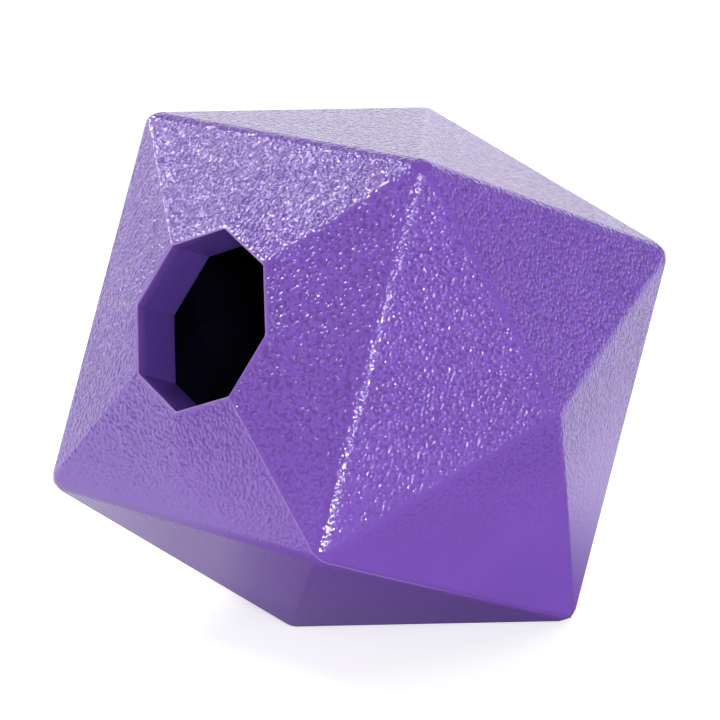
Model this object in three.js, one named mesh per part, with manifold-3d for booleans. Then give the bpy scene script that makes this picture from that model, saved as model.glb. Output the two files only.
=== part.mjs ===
// A treat dispensing ball: a hollow faceted rubber ball with an octagonal mouth, in millimetres, +Z up.
// Its form is a cube with a low square pyramid on each face. The pyramid of one face is cut off and drawn into a
// flat octagonal rim, the mouth. Two half shells meet on a plane that holds the mouth's axis and two of its ridges,
// keyed by a tongue in a groove, and hold the flange of a smooth throat sleeve between them.
// The ball stands on one facet at z = 0, with the origin under its centre and the mouth facing -Y and a little up.

import * as THREE from 'three';
import { ConvexGeometry } from 'three/addons/geometries/ConvexGeometry.js';
import { LoftGeometry } from 'three/addons/geometries/LoftGeometry.js';
import { mergeVertices } from 'three/addons/utils/BufferGeometryUtils.js';
import Module from 'manifold-3d';

const wasm = await Module();
wasm.setup();

// Driving dimensions: the outer form
const CUBE_EDGE = 60; // edge of the cube under the pyramids
const PYRAMID_HEIGHT = 12; // rise of each pyramid over its cube face
const EDGE_RADIUS = 2.8; // rounding of the ball's edges, corners and tips
const WALL = 4.5; // thickness of the shell, square to a facet

// Driving dimensions: the mouth and its throat
const MOUTH_ACROSS_FLATS = 26; // octagonal opening
const MOUTH_SET_BACK = 0.2; // how far the faces round the mouth lie inside the pyramid's facets
const THROAT_LENGTH = 8.4; // from the rim to the sleeve's inner end
const LIP_DEPTH = 1.6; // the shell's own lip, which covers the sleeve's outer end
const SLEEVE_WALL = 2;
const SLEEVE_NECK = 1.6; // from the sleeve's outer end to its flange
const FLANGE_WIDTH = 1.6; // how far the flange stands out of the sleeve
const FLANGE_THICKNESS = 1.4;
const BOSS_WALL = 1.8; // the shell's boss, outside the flange's groove
const BOSS_FLOOR = 1.2; // the shell's boss, behind the flange's groove

// Driving dimensions: the seam between the halves
const SEAM_GAP = 0.3; // between the two seam faces
const TONGUE_WIDTH = 1.5;
const TONGUE_HEIGHT = 1.8; // from the seam plane
const FIT_GAP = 0.3; // round the tongue and round the sleeve

// How finely the round stretches are divided
const MOUTH_SIDES = 8;
const ROUND_STEPS = 3; // flats across the rounding of an edge
const LOFT_STEPS = 4; // from the mouth's cube edges to its rim
const MERGE_DISTANCE = 1e-4;

// Finish of the pieces
const SHELL_COLOUR = 0x7d5cba;
const SHELL_ROUGHNESS = 0.45;
const SLEEVE_COLOUR = 0x6b4aa6;
const SLEEVE_ROUGHNESS = 0.4;

// Sizes that follow from the outer form. The ball's own frame has its centre at the origin and its mouth along -Y,
// so a level over the centre towards the mouth is at y = -level.
const HALF_EDGE = CUBE_EDGE / 2;
const TIP_DISTANCE = HALF_EDGE + PYRAMID_HEIGHT;
const FACET_TILT = Math.atan2(PYRAMID_HEIGHT, HALF_EDGE);
const FACET_DISTANCE = TIP_DISTANCE * Math.cos(FACET_TILT); // from the centre to each facet's plane
const BEYOND = 2 * TIP_DISTANCE; // well outside the ball

// Sizes that follow from the mouth
const HALF_FLATS = MOUTH_ACROSS_FLATS / 2;
const MOUTH_RADIUS = octagonRadius(HALF_FLATS);
const SLEEVE_HALF_FLATS = HALF_FLATS + SLEEVE_WALL;
const FLANGE_HALF_FLATS = SLEEVE_HALF_FLATS + FLANGE_WIDTH;
const BOSS_HALF_FLATS = FLANGE_HALF_FLATS + FIT_GAP + BOSS_WALL;
const BASE_LEVEL = HALF_EDGE - MOUTH_SET_BACK;
const RIM_LEVEL = TIP_DISTANCE - MOUTH_RADIUS * Math.tan(FACET_TILT) - MOUTH_SET_BACK;
const SLEEVE_TOP = RIM_LEVEL - LIP_DEPTH - FIT_GAP;
const FLANGE_TOP = SLEEVE_TOP - SLEEVE_NECK;
const FLANGE_BOTTOM = FLANGE_TOP - FLANGE_THICKNESS;
const SLEEVE_END = RIM_LEVEL - THROAT_LENGTH;
const BOSS_END = FLANGE_BOTTOM - FIT_GAP - BOSS_FLOOR;
const TONGUE_INSET = (WALL - TONGUE_WIDTH) / 2; // the tongue runs in the middle of the wall

// Distance from an octagon's centre to its corners.
function octagonRadius(halfFlats) {
  return halfFlats / Math.cos(Math.PI / MOUTH_SIDES);
}

// A closed geometry as a solid that can be cut and joined.
function solid(geometry) {
  const bare = new THREE.BufferGeometry();
  bare.setAttribute('position', geometry.getAttribute('position'));
  bare.setIndex(geometry.getIndex());
  const merged = mergeVertices(bare, MERGE_DISTANCE);
  const corners = merged.index.array;
  const triangles = [];
  for (let i = 0; i < corners.length; i += 3) {
    const [a, b, c] = corners.slice(i, i + 3);
    if (a !== b && b !== c && c !== a) triangles.push(a, b, c);
  }
  return new wasm.Manifold(
    new wasm.Mesh({
      numProp: 3,
      vertProperties: merged.attributes.position.array,
      triVerts: new Uint32Array(triangles),
    }),
  );
}

// A named mesh of a finished solid.
function piece(name, shape, material) {
  const { vertProperties, triVerts } = shape.getMesh();
  const geometry = new THREE.BufferGeometry();
  geometry.setAttribute('position', new THREE.BufferAttribute(vertProperties, 3));
  geometry.setIndex(new THREE.BufferAttribute(triVerts, 1));
  geometry.computeVertexNormals();
  const mesh = new THREE.Mesh(geometry, material);
  mesh.name = name;
  return mesh;
}

// The six directions square to the cube's faces.
function faceDirections() {
  const axes = [new THREE.Vector3(1, 0, 0), new THREE.Vector3(0, 1, 0), new THREE.Vector3(0, 0, 1)];
  return axes.flatMap((axis) => [axis, axis.clone().negate()]);
}

// The ball's outer corners: eight of the cube and six tips of the pyramids.
function ballCorners() {
  const tips = faceDirections().map((way) => way.multiplyScalar(TIP_DISTANCE));
  const signs = [-1, 1];
  const cube = signs.flatMap((x) =>
    signs.flatMap((y) => signs.map((z) => new THREE.Vector3(x, y, z).multiplyScalar(HALF_EDGE))),
  );
  return [...tips, ...cube];
}

// The normals of the 24 facets: each leans from its own cube face towards a neighbouring face.
function facetNormals() {
  return faceDirections().flatMap((own) =>
    faceDirections()
      .filter((side) => side.dot(own) === 0)
      .map((side) => own.clone().addScaledVector(side, Math.tan(FACET_TILT)).normalize()),
  );
}

// The whole ball with sharp edges and every facet moved inwards.
function facetedBall(inset) {
  const scale = 1 - inset / FACET_DISTANCE;
  return solid(new ConvexGeometry(ballCorners().map((corner) => corner.multiplyScalar(scale))));
}

// The whole ball with rounded edges: the hull of a ball end at every corner, sized to keep the facets in place.
function roundedBall() {
  const normals = facetNormals();
  const points = [];
  for (const corner of ballCorners()) {
    const own = normals.filter((normal) => Math.abs(normal.dot(corner) - FACET_DISTANCE) < MERGE_DISTANCE);
    const centre = corner.clone().multiplyScalar(1 - EDGE_RADIUS / FACET_DISTANCE);
    for (const from of own) {
      for (const to of own) {
        for (let step = 0; step < ROUND_STEPS; step += 1) {
          const way = from.clone().lerp(to, step / ROUND_STEPS).normalize();
          points.push(centre.clone().addScaledVector(way, EDGE_RADIUS));
        }
      }
    }
    points.push(centre.clone().addScaledVector(corner.clone().normalize(), EDGE_RADIUS));
  }
  return solid(new ConvexGeometry(points));
}

// One ring of the faces round the mouth: 0 is the square on the cube's edges, and 1 is the octagonal rim. The rim's
// corners lie on the ridges and midway between them.
function mouthRing(share, level) {
  const ring = [];
  for (let corner = 0; corner < MOUTH_SIDES; corner += 1) {
    const angle = (-corner / MOUTH_SIDES) * 2 * Math.PI;
    const square = HALF_EDGE / Math.max(Math.abs(Math.sin(angle)), Math.abs(Math.cos(angle)));
    const radius = THREE.MathUtils.lerp(square, MOUTH_RADIUS, share);
    ring.push(new THREE.Vector3(radius * Math.sin(angle), -level, radius * Math.cos(angle)));
  }
  return ring;
}

// All that lies inside the faces that run from the cube's edges to the rim, moved inwards with the facets. Past the
// cube's edges the faces go on outwards, clear of the neighbouring facets, and then straight down.
function insideMouthFaces(inset) {
  const rings = [mouthRing(-1, -BEYOND)];
  for (let step = -LOFT_STEPS; step <= LOFT_STEPS; step += 1) {
    const share = step / LOFT_STEPS;
    rings.push(mouthRing(share, THREE.MathUtils.lerp(BASE_LEVEL, RIM_LEVEL, share)));
  }
  const geometry = new LoftGeometry(rings, { capStart: true, capEnd: true });
  return solid(geometry.translate(0, inset / Math.cos(FACET_TILT), 0));
}

// The ball's outer faces, mouth included, all moved inwards.
function skin(inset) {
  return facetedBall(inset).intersect(insideMouthFaces(inset));
}

// An octagonal solid on the mouth's axis. Each profile point is a half width across flats and a level.
function octagonal(profile) {
  const points = profile.map(([halfFlats, level]) => new THREE.Vector2(octagonRadius(halfFlats), -level));
  return solid(new THREE.LatheGeometry(points, MOUTH_SIDES));
}

// An octagonal prism on the mouth's axis, from an outer level to an inner one.
function prism(halfFlats, outerLevel, innerLevel) {
  return octagonal([
    [0, outerLevel],
    [halfFlats, outerLevel],
    [halfFlats, innerLevel],
    [0, innerLevel],
  ]);
}

// A slab square to the seam, between two heights over the seam plane. The seam holds the Y axis, and its upper side
// faces +X and +Z alike.
function seamSlab(from, to) {
  const slab = new THREE.BoxGeometry(2 * BEYOND, 2 * BEYOND, to - from);
  return solid(slab.translate(0, 0, (from + to) / 2).rotateY(Math.PI / 4));
}

// The ridge that keys the halves, grown by a clearance: it follows the middle of the wall, and stops at the boss.
function seamKey(clearance) {
  const outer = skin(TONGUE_INSET - clearance);
  const inner = skin(TONGUE_INSET + TONGUE_WIDTH + clearance);
  const stop = prism(BOSS_HALF_FLATS - clearance, BEYOND, 0);
  return outer.subtract(inner).subtract(stop).intersect(seamSlab(-TONGUE_HEIGHT - clearance, SEAM_GAP));
}

// The throat sleeve, whose bore goes on from the shell's lip and whose flange stands in the boss's groove.
function throatSleeve() {
  return octagonal([
    [HALF_FLATS, SLEEVE_TOP],
    [SLEEVE_HALF_FLATS, SLEEVE_TOP],
    [SLEEVE_HALF_FLATS, FLANGE_TOP],
    [FLANGE_HALF_FLATS, FLANGE_TOP],
    [FLANGE_HALF_FLATS, FLANGE_BOTTOM],
    [SLEEVE_HALF_FLATS, FLANGE_BOTTOM],
    [SLEEVE_HALF_FLATS, SLEEVE_END],
    [HALF_FLATS, SLEEVE_END],
    [HALF_FLATS, SLEEVE_TOP],
  ]);
}

// The space that the sleeve and its clearance take out of the boss.
function sleeveSeat() {
  const tube = prism(SLEEVE_HALF_FLATS + FIT_GAP, SLEEVE_TOP + FIT_GAP, 0);
  return tube.add(prism(FLANGE_HALF_FLATS + FIT_GAP, FLANGE_TOP + FIT_GAP, FLANGE_BOTTOM - FIT_GAP));
}

// The whole shell before it is parted: the chamber is the wall's inner face, less the boss round the mouth.
function wholeShell() {
  const chamber = skin(WALL).subtract(prism(BOSS_HALF_FLATS, BEYOND, BOSS_END));
  const bore = prism(HALF_FLATS, BEYOND, 0);
  const body = roundedBall().intersect(insideMouthFaces(0));
  return body.subtract(chamber).subtract(bore).subtract(sleeveSeat());
}

const shellMaterial = new THREE.MeshStandardMaterial({
  color: SHELL_COLOUR,
  roughness: SHELL_ROUGHNESS,
  metalness: 0,
});
const sleeveMaterial = new THREE.MeshStandardMaterial({
  color: SLEEVE_COLOUR,
  roughness: SLEEVE_ROUGHNESS,
  metalness: 0,
});

const shell = wholeShell();
const upperHalf = shell.intersect(seamSlab(SEAM_GAP / 2, BEYOND)).add(seamKey(0));
const lowerHalf = shell.intersect(seamSlab(-BEYOND, -SEAM_GAP / 2)).subtract(seamKey(FIT_GAP));

// The ball lies back on its facet, which turns the mouth upwards by the facet's tilt.
const ball = new THREE.Group();
ball.position.z = FACET_DISTANCE;
ball.rotation.x = -FACET_TILT;
ball.add(
  piece('upper_shell_half', upperHalf, shellMaterial),
  piece('lower_shell_half', lowerHalf, shellMaterial),
  piece('throat_sleeve', throatSleeve(), sleeveMaterial),
);

const part = new THREE.Group();
part.name = 'treat_dispensing_ball';
part.add(ball);

export default part;
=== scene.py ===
"""Treat dispensing ball: the dressed model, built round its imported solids."""

import math

import bmesh
import bpy
from bpy.props import FloatProperty, FloatVectorProperty, IntProperty, PointerProperty
from bpy.types import Operator, Panel, PropertyGroup
from mathutils import Matrix, Vector


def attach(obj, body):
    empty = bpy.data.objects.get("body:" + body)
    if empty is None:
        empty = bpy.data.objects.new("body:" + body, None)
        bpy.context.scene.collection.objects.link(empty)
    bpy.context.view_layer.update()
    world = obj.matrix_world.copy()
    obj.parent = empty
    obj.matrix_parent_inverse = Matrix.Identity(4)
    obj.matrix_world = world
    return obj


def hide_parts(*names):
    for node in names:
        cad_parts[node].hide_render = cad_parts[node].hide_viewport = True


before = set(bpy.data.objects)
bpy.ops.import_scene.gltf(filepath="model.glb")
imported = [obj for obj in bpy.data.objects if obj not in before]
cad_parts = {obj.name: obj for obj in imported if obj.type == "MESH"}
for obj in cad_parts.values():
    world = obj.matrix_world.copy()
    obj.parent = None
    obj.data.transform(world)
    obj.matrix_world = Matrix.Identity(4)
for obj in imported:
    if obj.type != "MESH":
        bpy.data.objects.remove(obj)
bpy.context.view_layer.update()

bl_info = {
    "name": "Treat dispensing ball",
    "version": (1, 0, 0),
    "blender": (4, 5, 0),
    "location": "View3D > Sidebar > Treat ball",
    "description": "Models a faceted rubber treat ball, its throat sleeve and a plain studio",
    "category": "Object",
}

# Fixed values of the form

MOUTH_SIDES = 8
SEAM_NORMAL = Vector((1, 0, 1)).normalized()
# Tolerances: for merging and cutting, and for finding a place again
NEAR = 1e-6
LOOSE = 1e-5
# The cube's face with the mouth is the one whose normal's Y is less than this
MOUTH_SIDE = -0.5
# Places of the rings between the cube's edges and the mouth, as shares of the way
RING_SHARES = (0.16, 0.34, 0.52, 0.68, 0.82, 0.92, 1.0)
INNER_RING_SHARES = (0.35, 0.7, 1.0)
# Half the turn between two facets at a cube edge and at a pyramid's ridge
EDGE_TURN = math.radians(23.2)
RIDGE_TURN = math.radians(15.25)
# Least turn at an edge that counts as a ridge, and least turn at a sharp edge of the sleeve's end
BENT_TURN = math.radians(3)
SHARP_TURN = 1.0
# Least rounding of a ridge where it runs out at the mouth, as a share
LEAST_TAPER = 0.12
# Rounding of the crisper ridges on the seam, as a share of a cube edge's
SEAM_SHARE = 0.35
# Rounding of a seam edge near its corners: how far from the corner each lasts, and its share
SEAM_ENDS = ((0.005, 1.0), (0.010, 0.65))
# Strips across the rounded inner end of the sleeve
SLEEVE_STEPS = 3
# Edges that turn by less than this are shaded as smooth
SHELL_SMOOTH = math.radians(29)
SLEEVE_SMOOTH = math.radians(30)
# How strongly the large faces lead the shading of the strips beside them
NORMAL_WEIGHT = 50


# Fixed values of the finish

# Noise cells in one pitch of the grain, the detail in them, and the level where the rubber is smooth
GRAIN_CELLS = 1.45
GRAIN_DETAIL = 0.5
SMOOTH_LEVEL = 0.5
# Where the grain starts and where it is full, from the mouth, from a cube edge and from a ridge
MOUTH_BAND = (0.0002, 0.0010)
EDGE_BAND = (0.0002, 0.0014)
RIDGE_BAND = (0.0, 0.0009)
# Share of the grain that is left on a ridge
RIDGE_GRAIN = 0.6
# Share of the grain that is left low on the ball, and the heights between which it grows to full
LOW_GRAIN = 0.06
LOW_HEIGHTS = (0.0125, 0.046)
# Levels of the grain between which a valley turns into a pebble, the painted shade of a valley and its
# added roughness
VALLEY_EDGE = (0.34, 0.52)
VALLEY_PAINTED_SHADE = 0.67
VALLEY_ROUGHNESS = 0.05
# Faint clouds in the shell's colour: cells in a metre and detail, levels, and the shades they join
SHELL_CLOUD = (60.0, 2.0)
SHELL_CLOUD_EDGE = (0.35, 0.65)
SHELL_CLOUD_SHADES = (0.97, 1.03)
# The painted highlight along the mould line: its strength, its half width from full to nothing, and the
# heights where it fades in
LINE_HIGHLIGHT_SHARE = 0.5
LINE_HIGHLIGHT_BAND = (0.00006, 0.00018)
LINE_HIGHLIGHT_HEIGHTS = (0.008, 0.016)
# Depths under the facets between which the chamber's painted dark shade turns into the outer rubber
CHAMBER_DEPTHS = (0.0043, 0.0038)
# The painted highlight on the rim's thin edge: its half width beside the mouth's wall, and its depth,
# from full to nothing
RIM_HIGHLIGHT_BAND = (0.00005, 0.00035)
RIM_HIGHLIGHT_DEPTHS = (0.00015, 0.00045)
# Depths between which the rim's painted glow turns into the throat's painted shade
THROAT_DEPTHS = (0.0002, 0.0022)
# Faint clouds in the throat: cells in a metre and detail, levels, share and added roughness
THROAT_CLOUD = (180.0, 3.0)
THROAT_CLOUD_EDGE = (0.3, 0.7)
THROAT_CLOUD_SHARE = 0.10
THROAT_CLOUD_ROUGHNESS = 0.05
# Painted shade in the throat towards the chamber: the depths where it grows, its share and how dark it
# is
INNER_SHADE_DEPTHS = (0.0070, 0.0084)
INNER_SHADE_SHARE = 0.12
INNER_SHADE_LEVEL = 0.5
# The throat's fine skin: cells in a metre and detail, and height
SKIN_NOISE = (2400.0, 1.0)
SKIN_HEIGHT = 0.00001
# Strength of the rubber's shine, and roughness of what is matt
RUBBER_SHINE = 0.8
MATT_ROUGHNESS = 0.9


# Fixed values of the studio

# The width of the camera's sensor in millimetres, and how near it sees
SENSOR_WIDTH = 36
NEAREST_VIEW = 0.01
FLOOR_SIZE = 6.0
FLOOR_COLOUR = (0.90, 0.94, 0.78)
# Painted dark shade on one side of the floor, which only the ball's shine sees
MIRRORED_FLOOR_SHADE_COLOUR = (0.16, 0.16, 0.15)
# How far from the ball's middle the mirrored floor starts to brighten, and where it is white
FLOOR_SHADE = (0.028, 0.085)
# The floor's bright side: its direction, and the places along it where it starts and is full
FLOOR_SIDE = (-0.90, 0.43, 0.0)
FLOOR_SIDE_EDGE = (-0.025, 0.005)
# The white backdrop: the direction of its middle, and where it starts and is full, as a cosine
BACKDROP_MIDDLE = (-0.75, 0.66, 0.0)
BACKDROP_EDGE = (0.62, 0.88)
# The dark ceiling: where it starts and where it is darkest, as the upward part of a direction
CEILING_EDGE = (0.05, 0.7)
# The studio's soft lights: name, direction from the ball, distance, width, height, power in watts,
# and what it lights: the matt part of a surface, its shine, or both
SOFTBOXES = (
    ("camera_key", (0.74, -0.62, 0.30), 1.0, 0.13, 0.13, 3.6, ("matt", "shine")),
    ("right_shine", (0.90, -0.33, 0.15), 1.0, 0.10, 0.10, 2.0, ("shine",)),
    ("front_key", (-0.20, -0.85, 0.50), 1.0, 0.38, 0.38, 0.4, ("matt", "shine")),
    ("front_panel", (-0.35, -0.93, 0.05), 1.0, 0.60, 0.10, 1.7, ("matt",)),
    ("left_key", (-0.68, -0.30, 0.67), 1.0, 0.24, 0.24, 2.7, ("matt", "shine")),
    ("left_shine", (-0.68, -0.30, 0.67), 1.0, 0.42, 0.42, 4.3, ("shine",)),
    ("left_panel", (-1.0, -0.04, 0.14), 1.0, 0.80, 0.50, 1.0, ("matt", "shine")),
    ("back_panel", (-0.56, 0.84, 0.40), 1.2, 1.00, 1.00, 2.1, ("matt", "shine")),
    ("right_panel", (0.87, 0.38, 0.06), 1.0, 1.20, 0.20, 4.5, ("matt",)),
    ("top_panel", (0.10, 0.35, 0.93), 1.0, 0.80, 0.80, 1.9, ("matt",)),
)


# Sizes, finish and studio


class BallSizes(PropertyGroup):
    """The sizes of the ball that a user would change."""

    cube_edge: FloatProperty(
        name="Cube edge",
        description="Edge of the cube that carries the low pyramids",
        default=0.060,
        min=0.02,
        unit="LENGTH",
    )
    pyramid_height: FloatProperty(
        name="Pyramid height",
        description="Height of each low pyramid over its face of the cube",
        default=0.012,
        min=0.002,
        unit="LENGTH",
    )
    ridge_width: FloatProperty(
        name="Ridge rounding",
        description="How far the rounding of a cube edge reaches into each facet",
        default=0.0012,
        min=0.0002,
        unit="LENGTH",
    )
    ridge_steps: IntProperty(
        name="Ridge steps",
        description="Strips across each rounded ridge",
        default=8,
        min=1,
        max=8,
    )
    wall: FloatProperty(
        name="Wall",
        description="Thickness of the shell",
        default=0.0045,
        min=0.001,
        unit="LENGTH",
    )
    mouth_across_flats: FloatProperty(
        name="Mouth across flats",
        description="Width of the octagonal mouth between opposite sides",
        default=0.026,
        min=0.008,
        unit="LENGTH",
    )
    mouth_set_back: FloatProperty(
        name="Mouth set-back",
        description="How far the faces round the mouth lie inside the facets of a whole pyramid",
        default=0.0002,
        min=0.0,
        unit="LENGTH",
    )
    rim_rounding: FloatProperty(
        name="Rim rounding",
        description="Rounding of the mouth's rim",
        default=0.00030,
        min=0.00005,
        unit="LENGTH",
    )
    lip_depth: FloatProperty(
        name="Lip depth",
        description="Depth of the shell's lip in front of the throat sleeve",
        default=0.0019,
        min=0.0005,
        unit="LENGTH",
    )
    throat_length: FloatProperty(
        name="Throat length",
        description="Length of the throat from the rim to the sleeve's inner end",
        default=0.0084,
        min=0.004,
        unit="LENGTH",
    )
    sleeve_wall: FloatProperty(
        name="Sleeve wall",
        description="Thickness of the throat sleeve",
        default=0.002,
        min=0.0005,
        unit="LENGTH",
    )
    flange_width: FloatProperty(
        name="Flange width",
        description="How far the sleeve's flange stands out",
        default=0.0016,
        min=0.0005,
        unit="LENGTH",
    )
    flange_thickness: FloatProperty(
        name="Flange thickness",
        description="Thickness of the sleeve's flange",
        default=0.0014,
        min=0.0005,
        unit="LENGTH",
    )
    flange_drop: FloatProperty(
        name="Flange drop",
        description="Distance from the sleeve's outer end to its flange",
        default=0.0016,
        min=0.0003,
        unit="LENGTH",
    )
    seat_drop: FloatProperty(
        name="Seat drop",
        description="Depth of the seat in the shell behind the flange",
        default=0.0015,
        min=0.0005,
        unit="LENGTH",
    )
    seat_width: FloatProperty(
        name="Seat width",
        description="Width of the flat ring of the shell round the sleeve, inside",
        default=0.0025,
        min=0.0005,
        unit="LENGTH",
    )
    fit_gap: FloatProperty(
        name="Fit gap",
        description="Gap between the sleeve and its seat",
        default=0.00002,
        min=0.0,
        unit="LENGTH",
    )
    bead_width: FloatProperty(
        name="Seam bead width",
        description="Half the width of the fine mould line along the seam",
        default=0.00014,
        min=0.00002,
        unit="LENGTH",
    )
    bead_height: FloatProperty(
        name="Seam bead height",
        description="Height of the fine mould line along the seam",
        default=0.00006,
        min=0.0,
        unit="LENGTH",
    )


class BallFinish(PropertyGroup):
    """The colours and grain of the rubber, with the shade, glow and highlights painted on it."""

    shell_colour: FloatVectorProperty(
        name="Shell colour",
        description="Colour of the grained rubber",
        subtype="COLOR",
        size=3,
        min=0.0,
        max=1.0,
        default=(0.200, 0.082, 0.51),
    )
    ridge_colour: FloatVectorProperty(
        name="Ridge colour",
        description="Colour of the smooth rubber along the ridges",
        subtype="COLOR",
        size=3,
        min=0.0,
        max=1.0,
        default=(0.190, 0.077, 0.48),
    )
    # A lighter, pinker colour painted round the rim as a glow of light through the rubber
    rim_glow_colour: FloatVectorProperty(
        name="Rim colour",
        description="Colour of the smooth rubber round the mouth's rim",
        subtype="COLOR",
        size=3,
        min=0.0,
        max=1.0,
        default=(0.215, 0.084, 0.48),
    )
    # A pale colour painted as a highlight along the rim's thin edge and the mould line
    highlight_colour: FloatVectorProperty(
        name="Edge colour",
        description="Colour of the rubber along the rim's thin edge and the mould line",
        subtype="COLOR",
        size=3,
        min=0.0,
        max=1.0,
        default=(0.40, 0.26, 0.68),
    )
    # A darker colour painted as the shade inside the throat
    throat_shade_colour: FloatVectorProperty(
        name="Throat colour",
        description="Colour of the smooth rubber in the throat",
        subtype="COLOR",
        size=3,
        min=0.0,
        max=1.0,
        default=(0.135, 0.066, 0.40),
    )
    # A near-black colour painted inside as the chamber's shade
    chamber_shade_colour: FloatVectorProperty(
        name="Chamber colour",
        description="Colour of the unlit rubber inside the ball",
        subtype="COLOR",
        size=3,
        min=0.0,
        max=1.0,
        default=(0.006, 0.0045, 0.013),
    )
    grain_pitch: FloatProperty(
        name="Grain pitch",
        description="Distance between the pebbles of the moulded grain",
        default=0.0008,
        min=0.0002,
        unit="LENGTH",
    )
    grain_height: FloatProperty(
        name="Grain height",
        description="Height of the pebbles of the moulded grain",
        default=0.00037,
        min=0.0,
        unit="LENGTH",
    )
    roughness: FloatProperty(
        name="Roughness",
        description="Roughness of the rubber",
        default=0.14,
        min=0.0,
        max=1.0,
        subtype="FACTOR",
    )


class StudioSettings(PropertyGroup):
    """The camera and the light of the plain studio."""

    azimuth: FloatProperty(
        name="Azimuth",
        description="Camera's way round the ball, from the side of the mouth",
        default=math.radians(45.21),
        subtype="ANGLE",
        unit="ROTATION",
    )
    elevation: FloatProperty(
        name="Elevation",
        description="Camera's height over the ball's centre, as an angle",
        default=math.radians(14.24),
        subtype="ANGLE",
        unit="ROTATION",
    )
    roll: FloatProperty(
        name="Roll",
        description="Turn of the camera about its own view",
        default=math.radians(-0.59),
        subtype="ANGLE",
        unit="ROTATION",
    )
    distance: FloatProperty(
        name="Distance",
        description="Camera's distance from the ball's centre",
        default=0.574,
        min=0.1,
        unit="LENGTH",
    )
    lens: FloatProperty(
        name="Lens",
        description="Focal length on a 36 mm sensor, in millimetres",
        default=184.1,
        min=10.0,
        unit="CAMERA",
    )
    shift: FloatProperty(
        name="Shift",
        description="Upward shift of the lens, as a share of the picture",
        default=0.0090,
    )
    room_level: FloatProperty(
        name="Room level",
        description="Strength of the even light of the room's white walls",
        default=0.60,
        min=0.0,
    )
    dark_level: FloatProperty(
        name="Dark level",
        description="Strength of the dark ceiling, and of what the ball mirrors beside the backdrop",
        default=0.12,
        min=0.0,
    )
    floor_glow: FloatProperty(
        name="Floor glow",
        description="Light added to the floor where the camera sees it, so that it shows as white",
        default=0.58,
        min=0.0,
    )


# Derived lengths


def octagon_radius(half_flats):
    """Distance from an octagon's middle to a corner, from half its width across flats."""
    return half_flats / math.cos(math.pi / MOUTH_SIDES)


def between(start, end, share):
    return start + (end - start) * share


class BallForm:
    """Lengths that follow from the sizes.

    The ball's own frame has its centre at the origin and its mouth on -Y.
    """

    def __init__(self, sizes):
        self.half = sizes.cube_edge / 2
        self.rise = sizes.pyramid_height
        self.tip = self.half + self.rise
        self.tilt = math.atan2(self.rise, self.half)
        self.lift = self.tip * math.cos(self.tilt)
        self.inner_share = 1 - sizes.wall / self.lift
        self.bore = sizes.mouth_across_flats / 2
        self.mouth_radius = octagon_radius(self.bore)
        self.base = self.half - sizes.mouth_set_back
        self.rim = self.tip - self.mouth_radius * math.tan(self.tilt) - sizes.mouth_set_back
        self.lip_end = self.rim - sizes.lip_depth
        self.sleeve_end = self.rim - sizes.throat_length
        self.sleeve_half = self.bore + sizes.sleeve_wall
        self.flange_half = self.sleeve_half + sizes.flange_width
        self.flange_front = self.lip_end - sizes.flange_drop
        self.flange_back = self.flange_front - sizes.flange_thickness
        self.seat_end = self.flange_back - sizes.seat_drop
        self.seat_half = self.sleeve_half + sizes.seat_width


# Selecting and shaping in edit mode


def select_only(piece):
    bpy.ops.object.select_all(action="DESELECT")
    piece.select_set(True)
    bpy.context.view_layer.objects.active = piece


def start_edit(piece):
    select_only(piece)
    bpy.ops.object.mode_set(mode="EDIT")
    bpy.ops.mesh.select_all(action="DESELECT")


def end_edit():
    bpy.ops.object.mode_set(mode="OBJECT")


def choose(piece, kind, test):
    """Selects the faces, edges or vertices that pass the test, and nothing else."""
    modes = {"faces": "FACE", "edges": "EDGE", "verts": "VERT"}
    bpy.ops.mesh.select_mode(type=modes[kind])
    bpy.ops.mesh.select_all(action="DESELECT")
    mesh = bmesh.from_edit_mesh(piece.data)
    mesh.normal_update()
    chosen = [item for item in getattr(mesh, kind) if test(item)]
    for item in chosen:
        item.select_set(True)
    mesh.select_flush_mode()
    bmesh.update_edit_mesh(piece.data)
    if not chosen:
        raise RuntimeError(f"{piece.name}: none of its {kind} pass the test")


def apply_modifier(piece, kind, **settings):
    select_only(piece)
    modifier = piece.modifiers.new(kind.title(), kind)
    for name, value in settings.items():
        setattr(modifier, name, value)
    bpy.ops.object.modifier_apply(modifier=modifier.name)


def on_level(level):
    """A test of edges that lie at one level of the mouth's axis."""

    def test(edge):
        return all(abs(vert.co.y + level) < LOOSE for vert in edge.verts)

    return test


def next_ring(piece, level_before, level_after, scale):
    """Extrudes the open rim along the mouth's axis to another level, and scales it about that axis."""
    at_level = on_level(level_before)
    choose(piece, "edges", lambda edge: edge.is_boundary and at_level(edge))
    step = (0, level_before - level_after, 0)
    bpy.ops.mesh.extrude_edges_move(TRANSFORM_OT_translate={"value": step})
    bpy.ops.transform.resize(value=(scale, 1, scale), center_override=(0, 0, 0))


def follow_profile(piece, profile):
    """Takes an open octagonal rim through a list of (half width across flats, level)."""
    for (half_before, level_before), (half_after, level_after) in zip(profile, profile[1:]):
        next_ring(piece, level_before, level_after, half_after / half_before)


def on_diagonal(point):
    return abs(abs(point.x) - abs(point.z)) < LOOSE


def on_seam(point):
    return abs(point.dot(SEAM_NORMAL)) < LOOSE


# The shell


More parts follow.
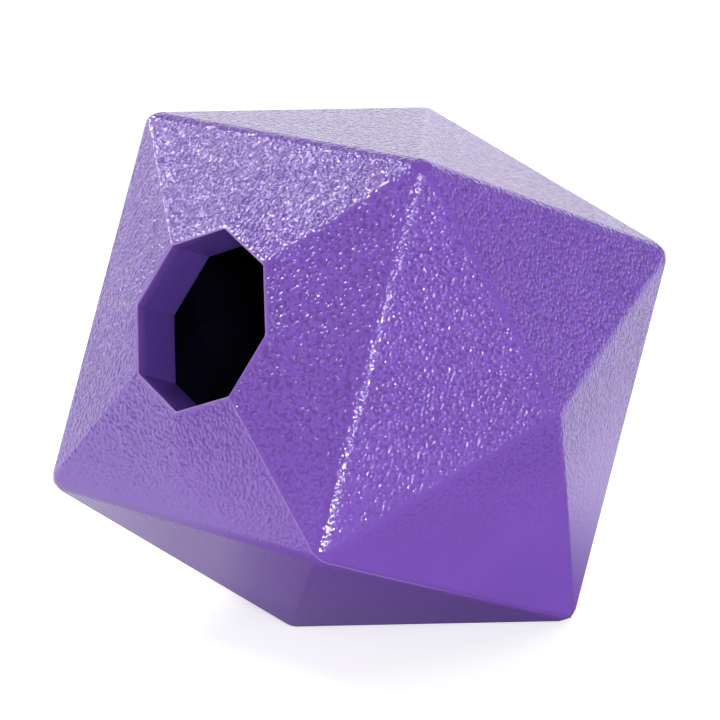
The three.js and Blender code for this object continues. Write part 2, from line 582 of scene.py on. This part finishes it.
def ball_skin(name, half, rise, base, radius, level, shares):
    """A cube with low pyramids on five faces.

    On the sixth face, rings lead from its square to an octagonal opening.
    """
    bpy.ops.object.select_all(action="DESELECT")
    bpy.ops.mesh.primitive_cube_add(size=2 * half)
    skin = bpy.context.object
    skin.name = name
    start_edit(skin)
    choose(skin, "faces", lambda face: face.normal.y > MOUTH_SIDE)
    bpy.ops.mesh.poke(offset=rise, use_relative_offset=False, center_mode="MEDIAN")
    choose(skin, "faces", lambda face: face.normal.y < MOUTH_SIDE)
    bpy.ops.mesh.delete(type="ONLY_FACE")
    choose(skin, "edges", lambda edge: edge.is_boundary)
    bpy.ops.mesh.subdivide(number_cuts=1)
    choose(skin, "edges", lambda edge: edge.is_boundary)
    bpy.ops.transform.translate(value=(0, half - base, 0))
    corner = half * math.sqrt(2)
    before = 0.0
    for share in shares:
        side_scale = between(half, radius, share) / between(half, radius, before)
        corner_scale = between(corner, radius, share) / between(corner, radius, before)
        ring_level = between(base, level, share)
        next_ring(skin, between(base, level, before), ring_level, side_scale)

        def corner_of_ring(vert):
            return abs(vert.co.y + ring_level) < LOOSE and on_diagonal(vert.co)

        choose(skin, "verts", corner_of_ring)
        scale = corner_scale / side_scale
        bpy.ops.transform.resize(value=(scale, 1, scale), center_override=(0, 0, 0))
        before = share
    return skin


def weigh_edges(piece, weight, test):
    choose(piece, "edges", test)
    bpy.ops.transform.edge_bevelweight(value=weight)


def round_ridges(skin, form):
    """Marks how far each ridge is rounded: less on the seam, and ever less towards the mouth."""

    def levels(edge):
        return sorted(-vert.co.y for vert in edge.verts)

    def in_mouth_face(edge):
        low, high = levels(edge)
        return low > form.base - LOOSE and high > form.base + LOOSE

    def seam(edge):
        return all(on_seam(vert.co) for vert in edge.verts)

    def bent(edge):
        return len(edge.link_faces) == 2 and edge.calc_face_angle(0) > BENT_TURN

    def tip(edge):
        return any(max(abs(part) for part in vert.co) > form.tip - LOOSE for vert in edge.verts)

    def diagonal(edge):
        return all(on_diagonal(vert.co) for vert in edge.verts)

    def seam_edge(edge):
        return seam(edge) and not in_mouth_face(edge) and not tip(edge)

    def from_corner(edge):
        middle = (edge.verts[0].co.y + edge.verts[1].co.y) / 2
        return min(middle + form.base, form.half - middle)

    def cube_edge(edge):
        return bent(edge) and not in_mouth_face(edge) and not tip(edge) and not seam(edge)

    for reach, _ in SEAM_ENDS:
        for place in (reach - form.base, form.half - reach):
            choose(skin, "edges", seam_edge)
            bpy.ops.mesh.bisect(plane_co=(0, place, 0), plane_no=(0, 1, 0), threshold=NEAR)
    ridge_share = math.tan(RIDGE_TURN) / math.tan(EDGE_TURN)
    weigh_edges(skin, 1.0, cube_edge)
    weigh_edges(skin, ridge_share, lambda edge: bent(edge) and tip(edge) and not seam(edge))
    weigh_edges(skin, SEAM_SHARE, lambda edge: bent(edge) and tip(edge) and seam(edge))
    passed = 0.0
    for reach, share in SEAM_ENDS + ((form.half, SEAM_SHARE),):
        weigh_edges(skin, share, lambda edge: seam_edge(edge) and passed < from_corner(edge) < reach)
        passed = reach
    before = 0.0
    for place, share in enumerate(RING_SHARES):
        start = between(form.base, form.rim, before)
        end = between(form.base, form.rim, share)

        def column(edge):
            low, high = levels(edge)
            return abs(low - start) < LOOSE and abs(high - end) < LOOSE

        taper = max(1 - place / len(RING_SHARES), LEAST_TAPER)

        def ridge_part(edge):
            return column(edge) and diagonal(edge) and not seam(edge)

        weigh_edges(skin, ridge_share * taper, ridge_part)
        if place > 0:
            weigh_edges(skin, taper, lambda edge: column(edge) and not diagonal(edge))
        before = share


def raise_bead(skin, form, sizes):
    """Raises the fine mould line along the seam as a low roof."""
    for side in (-1, 1):
        bpy.ops.mesh.select_all(action="SELECT")
        bpy.ops.mesh.bisect(
            plane_co=SEAM_NORMAL * sizes.bead_width * side,
            plane_no=SEAM_NORMAL,
            threshold=NEAR,
        )
    outer_reach = math.hypot(form.mouth_radius, form.rim) - sizes.rim_rounding

    def outside(vert):
        return vert.co.length > outer_reach and vert.normal.dot(vert.co) > 0

    choose(skin, "verts", lambda vert: on_seam(vert.co) and outside(vert))
    bpy.ops.transform.shrink_fatten(value=sizes.bead_height)


def mouth_profile(form, sizes):
    """The shell's wall from the rim to the chamber: lip, seat and groove of the flange."""
    gap = sizes.fit_gap
    seat = form.sleeve_half + gap
    groove = form.flange_half + gap
    return (
        (form.bore, form.rim),
        (form.bore, form.lip_end + gap),
        (seat, form.lip_end + gap),
        (seat, form.flange_front + gap),
        (groove, form.flange_front + gap),
        (groove, form.flange_back - gap),
        (seat, form.flange_back - gap),
        (seat, form.seat_end),
    )


def whole_shell(form, sizes):
    """The closed shell before it is cut along the seam: outer skin, mouth and chamber."""
    outer = ball_skin(
        "shell",
        form.half,
        form.rise,
        form.base,
        form.mouth_radius,
        form.rim,
        RING_SHARES,
    )
    round_ridges(outer, form)
    follow_profile(outer, mouth_profile(form, sizes))
    weigh_edges(outer, sizes.rim_rounding / sizes.ridge_width, on_level(form.rim))
    end_edit()
    apply_modifier(
        outer,
        "BEVEL",
        limit_method="WEIGHT",
        width=sizes.ridge_width,
        segments=sizes.ridge_steps,
        use_clamp_overlap=False,
    )
    inner = ball_skin(
        "chamber",
        form.half * form.inner_share,
        form.rise * form.inner_share,
        form.half * form.inner_share,
        octagon_radius(form.seat_half),
        form.seat_end,
        INNER_RING_SHARES,
    )
    follow_profile(inner, ((form.seat_half, form.seat_end), mouth_profile(form, sizes)[-1]))
    end_edit()
    select_only(outer)
    inner.select_set(True)
    bpy.ops.object.join()
    start_edit(outer)
    bpy.ops.mesh.select_all(action="SELECT")
    bpy.ops.mesh.remove_doubles(threshold=NEAR)
    bpy.ops.mesh.normals_make_consistent(inside=False)
    raise_bead(outer, form, sizes)
    end_edit()
    return outer


def copy_of(piece, name):
    select_only(piece)
    bpy.ops.object.duplicate(linked=False)
    twin = bpy.context.object
    twin.name = name
    twin.data.name = name
    return twin


def keep_side(piece, side):
    """Cuts the piece along the seam plane and keeps one side of it, closed by a seam face."""
    start_edit(piece)
    bpy.ops.mesh.select_all(action="SELECT")
    bpy.ops.mesh.bisect(
        plane_co=(0, 0, 0),
        plane_no=SEAM_NORMAL * side,
        threshold=NEAR,
        use_fill=True,
        clear_inner=True,
    )


def seat_in_frame(form):
    """Turns the mesh in edit mode from the ball's frame and sets it on the floor, on a facet."""
    bpy.ops.mesh.select_all(action="SELECT")
    bpy.ops.transform.rotate(value=form.tilt, orient_axis="X", center_override=(0, 0, 0))
    bpy.ops.transform.translate(value=(0, 0, form.lift))


def smooth_piece(piece, angle):
    """Smooth shading over soft edges, with the flat facets kept flat."""
    select_only(piece)
    bpy.ops.object.shade_smooth_by_angle(angle=angle)
    apply_modifier(
        piece,
        "WEIGHTED_NORMAL",
        mode="FACE_AREA",
        weight=NORMAL_WEIGHT,
        keep_sharp=True,
    )


def hand_over(piece, node, material):
    """Gives the piece its finish and sets it in the frame in place of its solid."""
    piece.data.materials.clear()
    piece.data.materials.append(material)
    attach(piece, "root")
    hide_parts(node)


# Shader maths


class Wire:
    """A shader socket that takes part in sums, so that a finish reads as plain maths."""

    def __init__(self, finish, socket):
        self.finish = finish
        self.socket = socket

    def __add__(self, other):
        return self.finish.maths("ADD", self, other)

    __radd__ = __add__

    def __mul__(self, other):
        return self.finish.maths("MULTIPLY", self, other)

    __rmul__ = __mul__

    def __sub__(self, other):
        return self.finish.maths("SUBTRACT", self, other)

    def __rsub__(self, other):
        return self.finish.maths("SUBTRACT", other, self)

    def __truediv__(self, other):
        return self.finish.maths("DIVIDE", self, other)

    def __abs__(self):
        return self.finish.maths("ABSOLUTE", self)

    def highest(self, other):
        return self.finish.maths("MAXIMUM", self, other)

    def lowest(self, other):
        return self.finish.maths("MINIMUM", self, other)

    def above(self, level):
        return self.finish.maths("GREATER_THAN", self, level)

    def ramp(self, low, high):
        """0 below low, 1 above high, and a smooth step between."""
        settings = {"interpolation_type": "SMOOTHSTEP"}
        inputs = {"Value": self, "From Min": low, "From Max": high}
        return self.finish.node("ShaderNodeMapRange", settings, inputs)


class Finish:
    """A tree of shader nodes, and the one method that adds a node to it."""

    def __init__(self, owner):
        owner.use_nodes = True
        self.owner = owner
        self.tree = owner.node_tree
        self.tree.nodes.clear()

    def node(self, kind, settings=None, inputs=None, output=0):
        """Adds a node, sets its settings and then its sockets, and gives back one output or all."""
        node = self.tree.nodes.new(kind)
        for name, value in (settings or {}).items():
            setattr(node, name, value)
        for name, value in (inputs or {}).items():
            if isinstance(value, Wire):
                self.tree.links.new(value.socket, node.inputs[name])
            else:
                node.inputs[name].default_value = value
        if output == "every":
            return [Wire(self, socket) for socket in node.outputs]
        return Wire(self, node.outputs[output])

    def show(self, kind, surface):
        """Ends the tree with its output node."""
        self.node(kind, None, {"Surface": surface}, "every")
        return self.owner

    def maths(self, operation, *values):
        return self.node("ShaderNodeMath", {"operation": operation}, dict(enumerate(values)))

    def noise(self, vector, scale, detail):
        inputs = {"Vector": vector, "Scale": scale, "Detail": detail}
        return self.node("ShaderNodeTexNoise", None, inputs, "Fac")

    def blend(self, factor, first, second):
        """A colour between two colours, which are the Mix node's sockets 6 and 7."""
        inputs = {0: factor, 6: first, 7: second}
        return self.node("ShaderNodeMix", {"data_type": "RGBA"}, inputs, output=2)

    def either(self, factor, first, second):
        """The first shader where the factor is 0, and the second where it is 1."""
        return self.node("ShaderNodeMixShader", None, {0: factor, 1: first, 2: second})

    def bump(self, height, distance):
        return self.node("ShaderNodeBump", None, {"Height": height, "Distance": distance}, "Normal")

    def rubber(self, colour, roughness, normal):
        inputs = {
            "Base Color": colour,
            "Roughness": roughness,
            "Normal": normal,
            "Specular IOR Level": RUBBER_SHINE,
        }
        return self.node("ShaderNodeBsdfPrincipled", None, inputs)

    def along(self, place, direction):
        """How far a place lies along a direction."""
        inputs = {0: place, 1: direction}
        return self.node("ShaderNodeVectorMath", {"operation": "DOT_PRODUCT"}, inputs, "Value")

    def shown_white(self, mirrored):
        """1 for what the camera sees, also through glass, and a share of it for what shines."""
        names = ("Is Camera Ray", "Is Glossy Ray", "Is Transmission Ray")
        straight, gloss, glass = [self.node("ShaderNodeLightPath", output=name) for name in names]
        return straight.highest(gloss * mirrored).highest(glass)


def opaque(colour, share=1.0):
    return (colour[0] * share, colour[1] * share, colour[2] * share, 1.0)


def ball_place(finish, form, place):
    """Coordinates in the ball's own frame, from the piece's Object coordinates."""
    inputs = {"Vector": place, "Location": (0, 0, form.lift), "Rotation": (-form.tilt, 0, 0)}
    return finish.node("ShaderNodeMapping", {"vector_type": "TEXTURE"}, inputs)


class BallZones:
    """Distances and masks over the ball, worked out from a place in the ball's frame."""

    def __init__(self, finish, place, form):
        x, y, z = finish.node("ShaderNodeSeparateXYZ", None, {0: place}, "every")
        wide = abs(x)
        deep = abs(y)
        high = abs(z)
        largest = wide.highest(deep).highest(high)
        smallest = wide.lowest(deep).lowest(high)
        middle = wide + deep + high - largest - smallest
        slope = form.rise / form.half
        edge_rate = (1 + slope) / math.hypot(1, slope)
        ridge_rate = (2 + slope ** 2) / math.sqrt(1 + (1 + slope ** 2) ** 2 + slope ** 2)
        self.to_edge = (largest - middle) / edge_rate
        self.to_ridge = (middle - smallest) / ridge_rate
        half_turn = math.pi / MOUTH_SIDES
        cos, sin = math.cos(half_turn), math.sin(half_turn)
        across = (wide * cos + high * sin).highest(wide * sin + high * cos)
        self.to_bore = across - form.bore
        self.to_seam = abs(x * SEAM_NORMAL.x + z * SEAM_NORMAL.z)
        self.behind = y.above(-form.half / 2)
        self.depth = form.rim + y
        self.reach = (largest + middle * slope) * math.cos(form.tilt)


def throat_shade(finish, zones, look):
    """The smooth rubber's colour: a painted glow round the rim at the mouth, turning into painted shade
    that grows darker with depth.
    """
    deep = zones.depth.ramp(*THROAT_DEPTHS)
    return finish.blend(deep, opaque(look.rim_glow_colour), opaque(look.throat_shade_colour))


def rim_highlight(zones):
    """A mask of the painted highlight along the rim's thin rounded edge."""
    beside = abs(zones.to_bore).ramp(*RIM_HIGHLIGHT_BAND)
    below = zones.depth.ramp(*RIM_HIGHLIGHT_DEPTHS)
    return (1 - beside) * (1 - below)


def grained_rubber(form, look):
    """Purple rubber with a moulded pebble grain.

    The grain is weaker along the ridges and low on the ball, and ends at a smooth band round the mouth.
    """
    finish = Finish(bpy.data.materials.new("pebbled_rubber"))
    object_place = finish.node("ShaderNodeTexCoord", output="Object")
    over_floor = finish.node("ShaderNodeSeparateXYZ", None, {0: object_place}, "Z")
    place = ball_place(finish, form, object_place)
    zones = BallZones(finish, place, form)
    pebble = finish.noise(place, GRAIN_CELLS / look.grain_pitch, GRAIN_DETAIL)
    land = zones.to_bore.ramp(*MOUTH_BAND).highest(zones.behind)
    ridge = zones.to_edge.ramp(*EDGE_BAND).lowest(zones.to_ridge.ramp(*RIDGE_BAND))
    inside = 1 - zones.reach.ramp(*[form.lift - depth for depth in CHAMBER_DEPTHS])
    fade_share = LOW_GRAIN + (1 - LOW_GRAIN) * over_floor.ramp(*LOW_HEIGHTS)
    grain = land * (RIDGE_GRAIN + (1 - RIDGE_GRAIN) * ridge) * (1 - inside) * fade_share
    height = pebble * grain + SMOOTH_LEVEL * (1 - grain)
    cloud = finish.noise(place, *SHELL_CLOUD).ramp(*SHELL_CLOUD_EDGE)
    shades = [opaque(look.shell_colour, shade) for shade in SHELL_CLOUD_SHADES]
    body = finish.blend(cloud, *shades)
    # Painted shade darkens the valleys of the grain
    low = grain * (1 - pebble.ramp(*VALLEY_EDGE))
    shaded_valleys = finish.blend(low, body, opaque(look.shell_colour, VALLEY_PAINTED_SHADE))
    smooth = finish.blend(ridge, opaque(look.ridge_colour), shaded_valleys)
    # A painted highlight along the mould line on the seam
    line = LINE_HIGHLIGHT_SHARE * (1 - zones.to_seam.ramp(*LINE_HIGHLIGHT_BAND)) * over_floor.ramp(*LINE_HIGHLIGHT_HEIGHTS)
    line_highlit = finish.blend(line, smooth, opaque(look.highlight_colour))
    shade = throat_shade(finish, zones, look)
    # The rim's thin edge gets a painted highlight over the throat's colour
    mouth = finish.blend(rim_highlight(zones), shade, opaque(look.highlight_colour))
    outer = finish.blend(land, mouth, line_highlit)
    rough = look.roughness + VALLEY_ROUGHNESS * (1 - pebble) * grain
    rubber = finish.rubber(outer, rough, finish.bump(height, look.grain_height))
    # The chamber is painted dark and matt, as shade, with no shine
    painted_dark = {
        "Base Color": opaque(look.chamber_shade_colour),
        "Roughness": MATT_ROUGHNESS,
        "Specular IOR Level": 0.0,
    }
    chamber = finish.node("ShaderNodeBsdfPrincipled", None, painted_dark)
    return finish.show("ShaderNodeOutputMaterial", finish.either(inside, rubber, chamber))


def smooth_rubber(form, look):
    """The throat's rubber: smooth and faintly cloudy, with painted shade growing a little darker
    towards the chamber.
    """
    finish = Finish(bpy.data.materials.new("throat_rubber"))
    place = ball_place(finish, form, finish.node("ShaderNodeTexCoord", output="Object"))
    zones = BallZones(finish, place, form)
    cloud = finish.noise(place, *THROAT_CLOUD).ramp(*THROAT_CLOUD_EDGE)
    shade = throat_shade(finish, zones, look)
    # Faint clouds in the rubber's tone, and painted shade that grows towards the chamber
    fade_share = THROAT_CLOUD_SHARE * cloud + INNER_SHADE_SHARE * zones.depth.ramp(*INNER_SHADE_DEPTHS)
    colour = finish.blend(fade_share, shade, opaque(look.throat_shade_colour, INNER_SHADE_LEVEL))
    rough = look.roughness + THROAT_CLOUD_ROUGHNESS * cloud
    skin = finish.bump(finish.noise(place, *SKIN_NOISE), SKIN_HEIGHT)
    return finish.show("ShaderNodeOutputMaterial", finish.rubber(colour, rough, skin))


# The pieces


class TREATBALL_OT_shell_halves(Operator):
    """Models the two halves of the grained shell"""

    bl_idname = "treat_ball.shell_halves"
    bl_label = "Shell halves"

    def execute(self, context):
        sizes = context.scene.treat_ball_sizes
        form = BallForm(sizes)
        rubber = grained_rubber(form, context.scene.treat_ball_finish)
        shell = whole_shell(form, sizes)
        for side, name in ((1, "upper_half"), (-1, "lower_half")):
            half = copy_of(shell, name)
            keep_side(half, side)
            seat_in_frame(form)
            end_edit()
            smooth_piece(half, SHELL_SMOOTH)
            hand_over(half, name.replace("half", "shell_half"), rubber)
        bpy.data.objects.remove(shell)
        return {"FINISHED"}


def sleeve_tube(form, sizes):
    """The octagonal throat sleeve with its flange, in the ball's frame."""
    bpy.ops.object.select_all(action="DESELECT")
    bpy.ops.mesh.primitive_cylinder_add(
        vertices=MOUTH_SIDES,
        radius=octagon_radius(form.sleeve_half),
        depth=form.lip_end - form.flange_front,
        end_fill_type="NOTHING",
        location=(0, -(form.lip_end + form.flange_front) / 2, 0),
        rotation=(math.pi / 2, 0, 0),
    )
    sleeve = bpy.context.object
    sleeve.name = "sleeve"
    bpy.ops.object.transform_apply(location=True, rotation=True, scale=True)
    start_edit(sleeve)
    back = (
        (form.sleeve_half, form.flange_front),
        (form.flange_half, form.flange_front),
        (form.flange_half, form.flange_back),
        (form.sleeve_half, form.flange_back),
        (form.sleeve_half, form.sleeve_end),
        (form.bore, form.sleeve_end),
    )
    follow_profile(sleeve, back)
    follow_profile(sleeve, ((form.sleeve_half, form.lip_end), (form.bore, form.lip_end)))
    choose(sleeve, "edges", lambda edge: edge.is_boundary)
    bpy.ops.mesh.bridge_edge_loops()
    bpy.ops.mesh.select_all(action="SELECT")
    bpy.ops.mesh.normals_make_consistent(inside=False)
    inner_end = on_level(form.sleeve_end)
    choose(sleeve, "edges", lambda edge: inner_end(edge) and edge.calc_face_angle(0) > SHARP_TURN)
    bpy.ops.mesh.bevel(offset=sizes.rim_rounding, segments=SLEEVE_STEPS, affect="EDGES")
    return sleeve


class TREATBALL_OT_throat_sleeve(Operator):
    """Models the smooth octagonal sleeve of the throat"""

    bl_idname = "treat_ball.throat_sleeve"
    bl_label = "Throat sleeve"

    def execute(self, context):
        sizes = context.scene.treat_ball_sizes
        form = BallForm(sizes)
        sleeve = sleeve_tube(form, sizes)
        seat_in_frame(form)
        end_edit()
        smooth_piece(sleeve, SLEEVE_SMOOTH)
        rubber = smooth_rubber(form, context.scene.treat_ball_finish)
        hand_over(sleeve, "throat_sleeve", rubber)
        return {"FINISHED"}


# The stage


def camera_axes(studio):
    """Directions of the camera: right, up and back towards the camera."""
    cos_rise = math.cos(studio.elevation)
    back = Vector(
        (
            math.sin(studio.azimuth) * cos_rise,
            -math.cos(studio.azimuth) * cos_rise,
            math.sin(studio.elevation),
        )
    )
    right = Vector((0, 0, 1)).cross(back).normalized()
    up = back.cross(right)
    turn = Matrix.Rotation(studio.roll, 3, back)
    return turn @ right, turn @ up, back


def add_camera(studio, form):
    centre = Vector((0, 0, form.lift))
    right, up, back = camera_axes(studio)
    bpy.ops.object.camera_add(location=centre + back * studio.distance)
    camera = bpy.context.object
    camera.rotation_euler = Matrix((right, up, back)).transposed().to_euler()
    camera.data.lens = studio.lens
    camera.data.sensor_width = SENSOR_WIDTH
    camera.data.shift_y = studio.shift
    camera.data.clip_start = NEAREST_VIEW
    bpy.context.scene.camera = camera


def add_softbox(name, direction, distance, width, height, power, lights, centre):
    """An area light that looks at the ball from a direction."""
    way = Vector(direction).normalized()
    bpy.ops.object.light_add(type="AREA", location=centre + way * distance)
    lamp = bpy.context.object
    lamp.name = name
    lamp.rotation_euler = way.to_track_quat("Z", "Y").to_euler()
    lamp.data.shape = "RECTANGLE"
    lamp.data.size = width
    lamp.data.size_y = height
    lamp.data.energy = power
    lamp.visible_diffuse = "matt" in lights
    lamp.visible_glossy = "shine" in lights


def add_room(studio):
    """A white room under a dark ceiling.

    The camera sees it as plain white, and what shines sees the white backdrop.
    """
    room = Finish(bpy.data.worlds.new("white_room"))
    direction = room.node("ShaderNodeTexCoord", output="Generated")
    upward = room.node("ShaderNodeSeparateXYZ", None, {0: direction}, "Z")
    backdrop = room.along(direction, BACKDROP_MIDDLE).ramp(*BACKDROP_EDGE)
    white = opaque((1.0, 1.0, 1.0))
    walls, dark, shown = [
        room.node("ShaderNodeBackground", None, {"Color": white, "Strength": level})
        for level in (studio.room_level, studio.dark_level, 1.0)
    ]
    gloss = room.node("ShaderNodeLightPath", output="Is Glossy Ray")
    light = room.either(upward.ramp(*CEILING_EDGE).highest(gloss), walls, dark)
    surface = room.either(room.shown_white(backdrop), light, shown)
    bpy.context.scene.world = room.show("ShaderNodeOutputWorld", surface)


def floor_finish(studio):
    """The floor's plain pale finish.

    The camera sees it lit up to white, round the ball's shadow. What shines sees one side
    of it lit up, and the other side painted dark as shade.
    """
    finish = Finish(bpy.data.materials.new("pale_floor"))
    matt, painted_dark = [
        finish.node(
            "ShaderNodeBsdfPrincipled",
            None,
            {"Base Color": opaque(colour), "Roughness": MATT_ROUGHNESS},
        )
        for colour in (FLOOR_COLOUR, MIRRORED_FLOOR_SHADE_COLOUR)
    ]
    glow = finish.node("ShaderNodeEmission", None, {"Strength": studio.floor_glow})
    lit = finish.node("ShaderNodeAddShader", None, {0: matt, 1: glow})
    place = finish.node("ShaderNodeTexCoord", output="Object")
    away = finish.node("ShaderNodeVectorMath", {"operation": "LENGTH"}, {0: place}, "Value")
    bright = finish.along(place, FLOOR_SIDE).ramp(*FLOOR_SIDE_EDGE)
    gloss = finish.node("ShaderNodeLightPath", output="Is Glossy Ray")
    # What shines sees one side of the floor painted dark, as shade
    plain = finish.either(gloss * (1 - bright), matt, painted_dark)
    shown = finish.shown_white(away.ramp(*FLOOR_SHADE) * bright)
    return finish.show("ShaderNodeOutputMaterial", finish.either(shown, plain, lit))


def add_floor(studio):
    bpy.ops.object.select_all(action="DESELECT")
    bpy.ops.mesh.primitive_plane_add(size=FLOOR_SIZE, location=(0, 0, 0))
    floor = bpy.context.object
    floor.name = "floor"
    floor.data.materials.append(floor_finish(studio))


class TREATBALL_OT_stage(Operator):
    """Sets up the plain floor, the soft light and the camera"""

    bl_idname = "treat_ball.stage"
    bl_label = "Stage"

    def execute(self, context):
        studio = context.scene.treat_ball_studio
        form = BallForm(context.scene.treat_ball_sizes)
        centre = Vector((0, 0, form.lift))
        add_floor(studio)
        add_room(studio)
        for softbox in SOFTBOXES:
            add_softbox(*softbox, centre)
        add_camera(studio, form)
        context.scene.view_settings.view_transform = "Standard"
        return {"FINISHED"}


class TREATBALL_PT_sidebar(Panel):
    """Lists the steps that build the ball"""

    bl_label = "Treat ball"
    bl_idname = "TREATBALL_PT_sidebar"
    bl_space_type = "VIEW_3D"
    bl_region_type = "UI"
    bl_category = "Treat ball"

    def draw(self, context):
        for step in STEPS:
            self.layout.operator(step.bl_idname)


STEPS = (TREATBALL_OT_shell_halves, TREATBALL_OT_throat_sleeve, TREATBALL_OT_stage)
CLASSES = (BallSizes, BallFinish, StudioSettings) + STEPS + (TREATBALL_PT_sidebar,)


def register():
    for item in CLASSES:
        bpy.utils.register_class(item)
    bpy.types.Scene.treat_ball_sizes = PointerProperty(type=BallSizes)
    bpy.types.Scene.treat_ball_finish = PointerProperty(type=BallFinish)
    bpy.types.Scene.treat_ball_studio = PointerProperty(type=StudioSettings)


def unregister():
    del bpy.types.Scene.treat_ball_studio
    del bpy.types.Scene.treat_ball_finish
    del bpy.types.Scene.treat_ball_sizes
    for item in reversed(CLASSES):
        bpy.utils.unregister_class(item)


def main():
    register()
    bpy.ops.treat_ball.shell_halves()
    bpy.ops.treat_ball.throat_sleeve()
    bpy.ops.treat_ball.stage()


if __name__ == "__main__":
    main()
